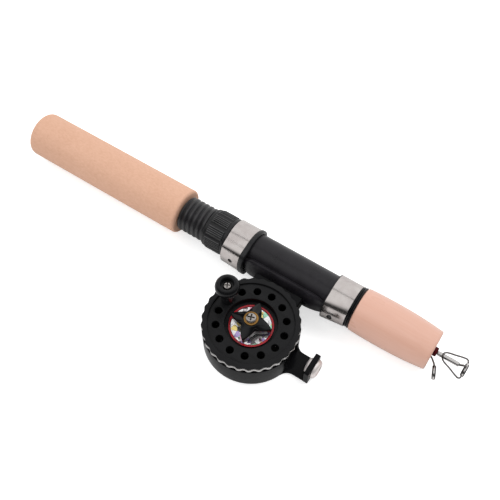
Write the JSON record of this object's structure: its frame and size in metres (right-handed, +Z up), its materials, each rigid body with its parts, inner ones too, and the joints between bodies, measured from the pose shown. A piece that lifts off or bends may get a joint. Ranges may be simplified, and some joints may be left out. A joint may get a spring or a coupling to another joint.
{
  "type": "fishing rod and reel",
  "caption": "Short telescopic fishing rod, pushed together, with a small open-faced centre-pin reel clamped in its threaded reel seat.",
  "frame": {"origin": "bottom centre of the object's box: the surface on which the rod lies, under the box's middle", "axes": "+X along the rod from butt to tip, +Z up along the reel's axis, reel on the -Y side"},
  "size_m": [0.2954, 0.0836, 0.0396],
  "materials": {
    "grip_foam": "matte fine-grained peach grip",
    "grip_lacquered": "lacquered peach grip with fine lengthwise grain",
    "black_plastic": "moulded satin black plastic",
    "seat_black": "satin black moulded tube",
    "graphite_blank": "glass-fibre rod blank",
    "chrome": "bright plated steel",
    "steel": "plain steel",
    "brass": "turned brass",
    "red_trim": "glossy red plastic",
    "prismatic_foil": "prismatic silver foil",
    "maroon_thread": "varnished maroon thread",
    "ceramic": "polished black ceramic"
  },
  "bodies": {
    "handle": {"rear_grip": "grip_foam", "butt_cap": "black_plastic", "handle_tube": "graphite_blank", "seat_tube": "seat_black", "front_hood_liner": "black_plastic", "front_hood_band": "chrome", "winding_check": "black_plastic", "front_grip": "grip_lacquered", "reel_foot": "black_plastic", "foot_screw_1": "steel", "foot_screw_2": "steel", "reel_frame": "black_plastic", "line_guide_eyelet": "chrome", "spindle": "steel", "spindle_screw": "steel", "centre_screw": "chrome", "brass_washer": "brass"},
    "rear_hood": {"rear_hood_liner": "black_plastic", "rear_hood_band": "chrome"},
    "lock_nut": {"lock_nut": "black_plastic"},
    "spool": {"spool": "black_plastic", "flange_trim_ring": "chrome", "red_ring": "red_trim", "prismatic_disc": "prismatic_foil", "spool_bushing": "brass", "crank_pin": "steel", "crank_screw": "chrome"},
    "crank_knob": {"crank_knob": "black_plastic"},
    "tension_washer": {"tension_washer": "steel"},
    "star_knob": {"star_knob": "black_plastic"},
    "mid_section": {"mid_blank": "graphite_blank", "mid_wrap": "maroon_thread", "mid_guide_frame": "chrome", "mid_guide_insert": "ceramic"},
    "tip_section": {"tip_blank": "graphite_blank", "tip_tube": "chrome", "tip_guide_frame": "chrome", "tip_guide_insert": "ceramic"}
  },
  "joints": [
    {"name": "rear_hood_slide", "type": "slide", "parent": "handle", "child": "rear_hood", "axis": [-1, 0, 0], "range_m": [0, 0.0179]},
    {"name": "lock_nut_turn", "type": "hinge", "parent": "rear_hood", "child": "lock_nut", "pos_m": [-0.0095, 0.02779, 0.014], "axis": [-1, 0, 0], "range_deg": [0, 1980]},
    {"name": "spool_turn", "type": "hinge", "parent": "handle", "child": "spool", "pos_m": [0.03823, -0.01474, 0.01], "axis": [0, 0, 1], "continuous": true},
    {"name": "crank_knob_turn", "type": "hinge", "parent": "spool", "child": "crank_knob", "pos_m": [0.01975, -0.00945, 0.03], "axis": [0, 0, 1], "continuous": true},
    {"name": "tension_washer_lift", "type": "slide", "parent": "handle", "child": "tension_washer", "axis": [0, 0, 1], "range_m": [0, 0.00021]},
    {"name": "star_knob_turn", "type": "hinge", "parent": "tension_washer", "child": "star_knob", "pos_m": [0.03823, -0.01474, 0.022], "axis": [0, 0, 1], "range_deg": [0, 150]},
    {"name": "mid_section_slide", "type": "slide", "parent": "handle", "child": "mid_section", "axis": [1, 0, 0], "range_m": [0, 0.19]},
    {"name": "tip_section_slide", "type": "slide", "parent": "mid_section", "child": "tip_section", "axis": [1, 0, 0], "range_m": [0, 0.17]}
  ],
  "couplings": [
    {"joint": "rear_hood_slide", "follows": "lock_nut_turn", "m_per_rad": 0.00051725},
    {"joint": "tension_washer_lift", "follows": "star_knob_turn", "m_per_rad": 0.000079577}
  ]
}
